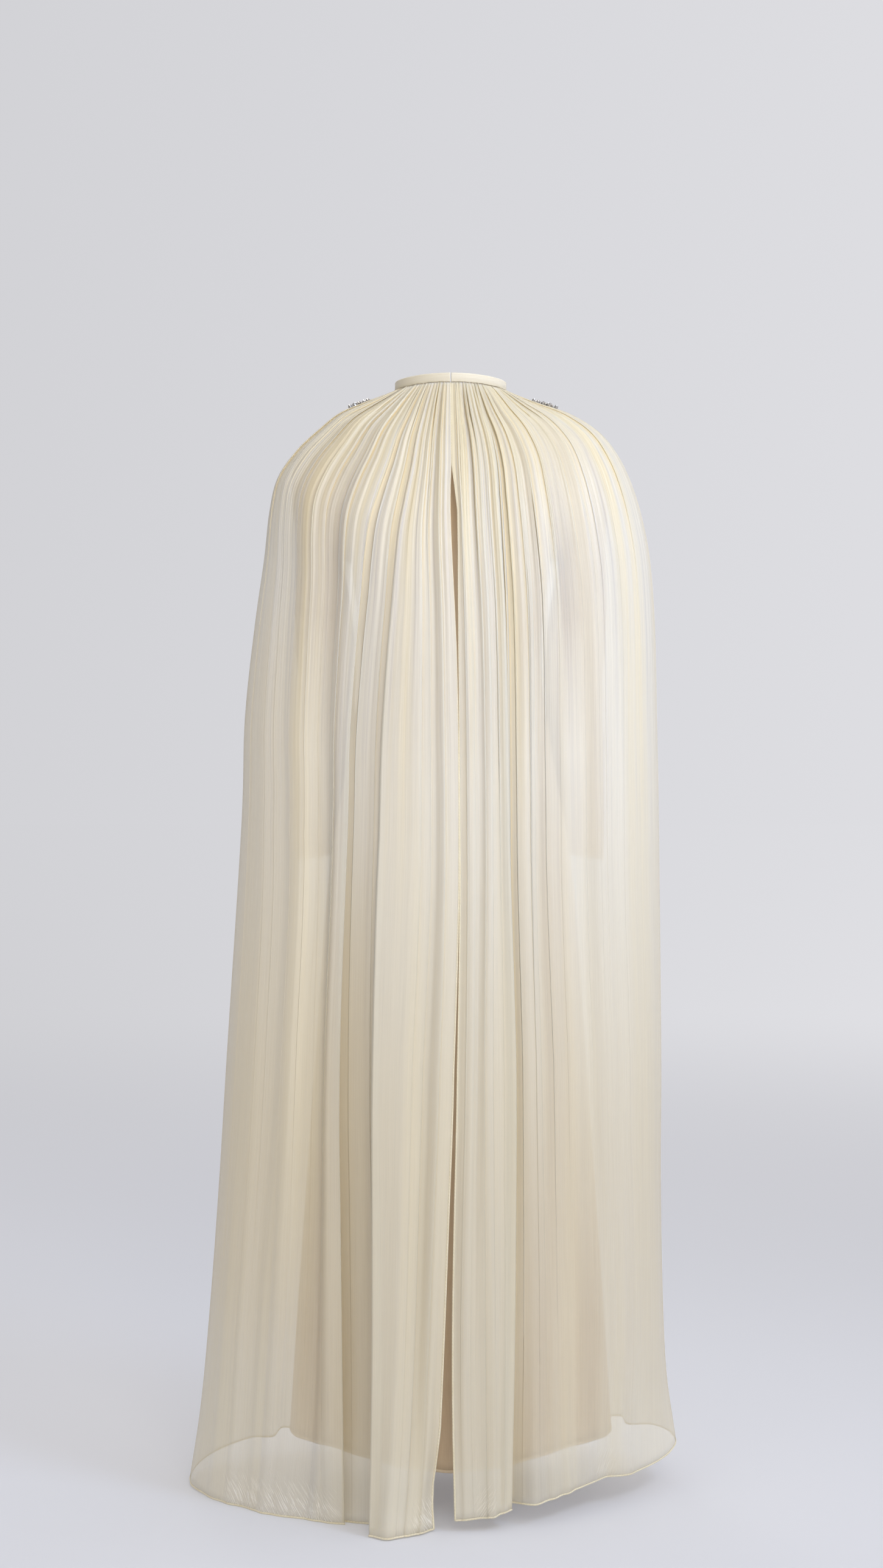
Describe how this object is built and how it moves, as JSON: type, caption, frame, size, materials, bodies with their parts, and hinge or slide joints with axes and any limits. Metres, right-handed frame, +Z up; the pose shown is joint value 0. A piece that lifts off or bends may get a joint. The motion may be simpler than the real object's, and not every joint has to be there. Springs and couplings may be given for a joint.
{
  "type": "cape abaya",
  "caption": "Floor-length cream cape abaya: gathered sheer cape open at the back and front, over a beige A-line dress with long sleeves, in its worn form.",
  "frame": {"origin": "middle of the neck opening, level with the points where neck and shoulder meet", "axes": "+Z up, -Y the way the wearer faces, +X the wearer's left"},
  "size_m": [0.649, 0.4918, 1.462],
  "materials": {
    "cape_cloth": "satin",
    "dress_cloth": "matte",
    "neckband_cloth": "satin",
    "bead_backing": "satin"
  },
  "bodies": {
    "root": {"cape_back_left": "cape_cloth", "cape_back_right": "cape_cloth", "cape_front_left": "cape_cloth", "cape_front_right": "cape_cloth", "neckband": "neckband_cloth", "dress_bodice_back": "dress_cloth", "dress_bodice_front": "dress_cloth", "dress_skirt_back": "dress_cloth", "dress_skirt_front": "dress_cloth", "sleeve_upper_left": "dress_cloth", "sleeve_upper_right": "dress_cloth", "sleeve_lower_left": "dress_cloth", "sleeve_lower_right": "dress_cloth", "shoulder_ornament_left": "bead_backing", "shoulder_ornament_right": "bead_backing"}
  },
  "joints": []
}
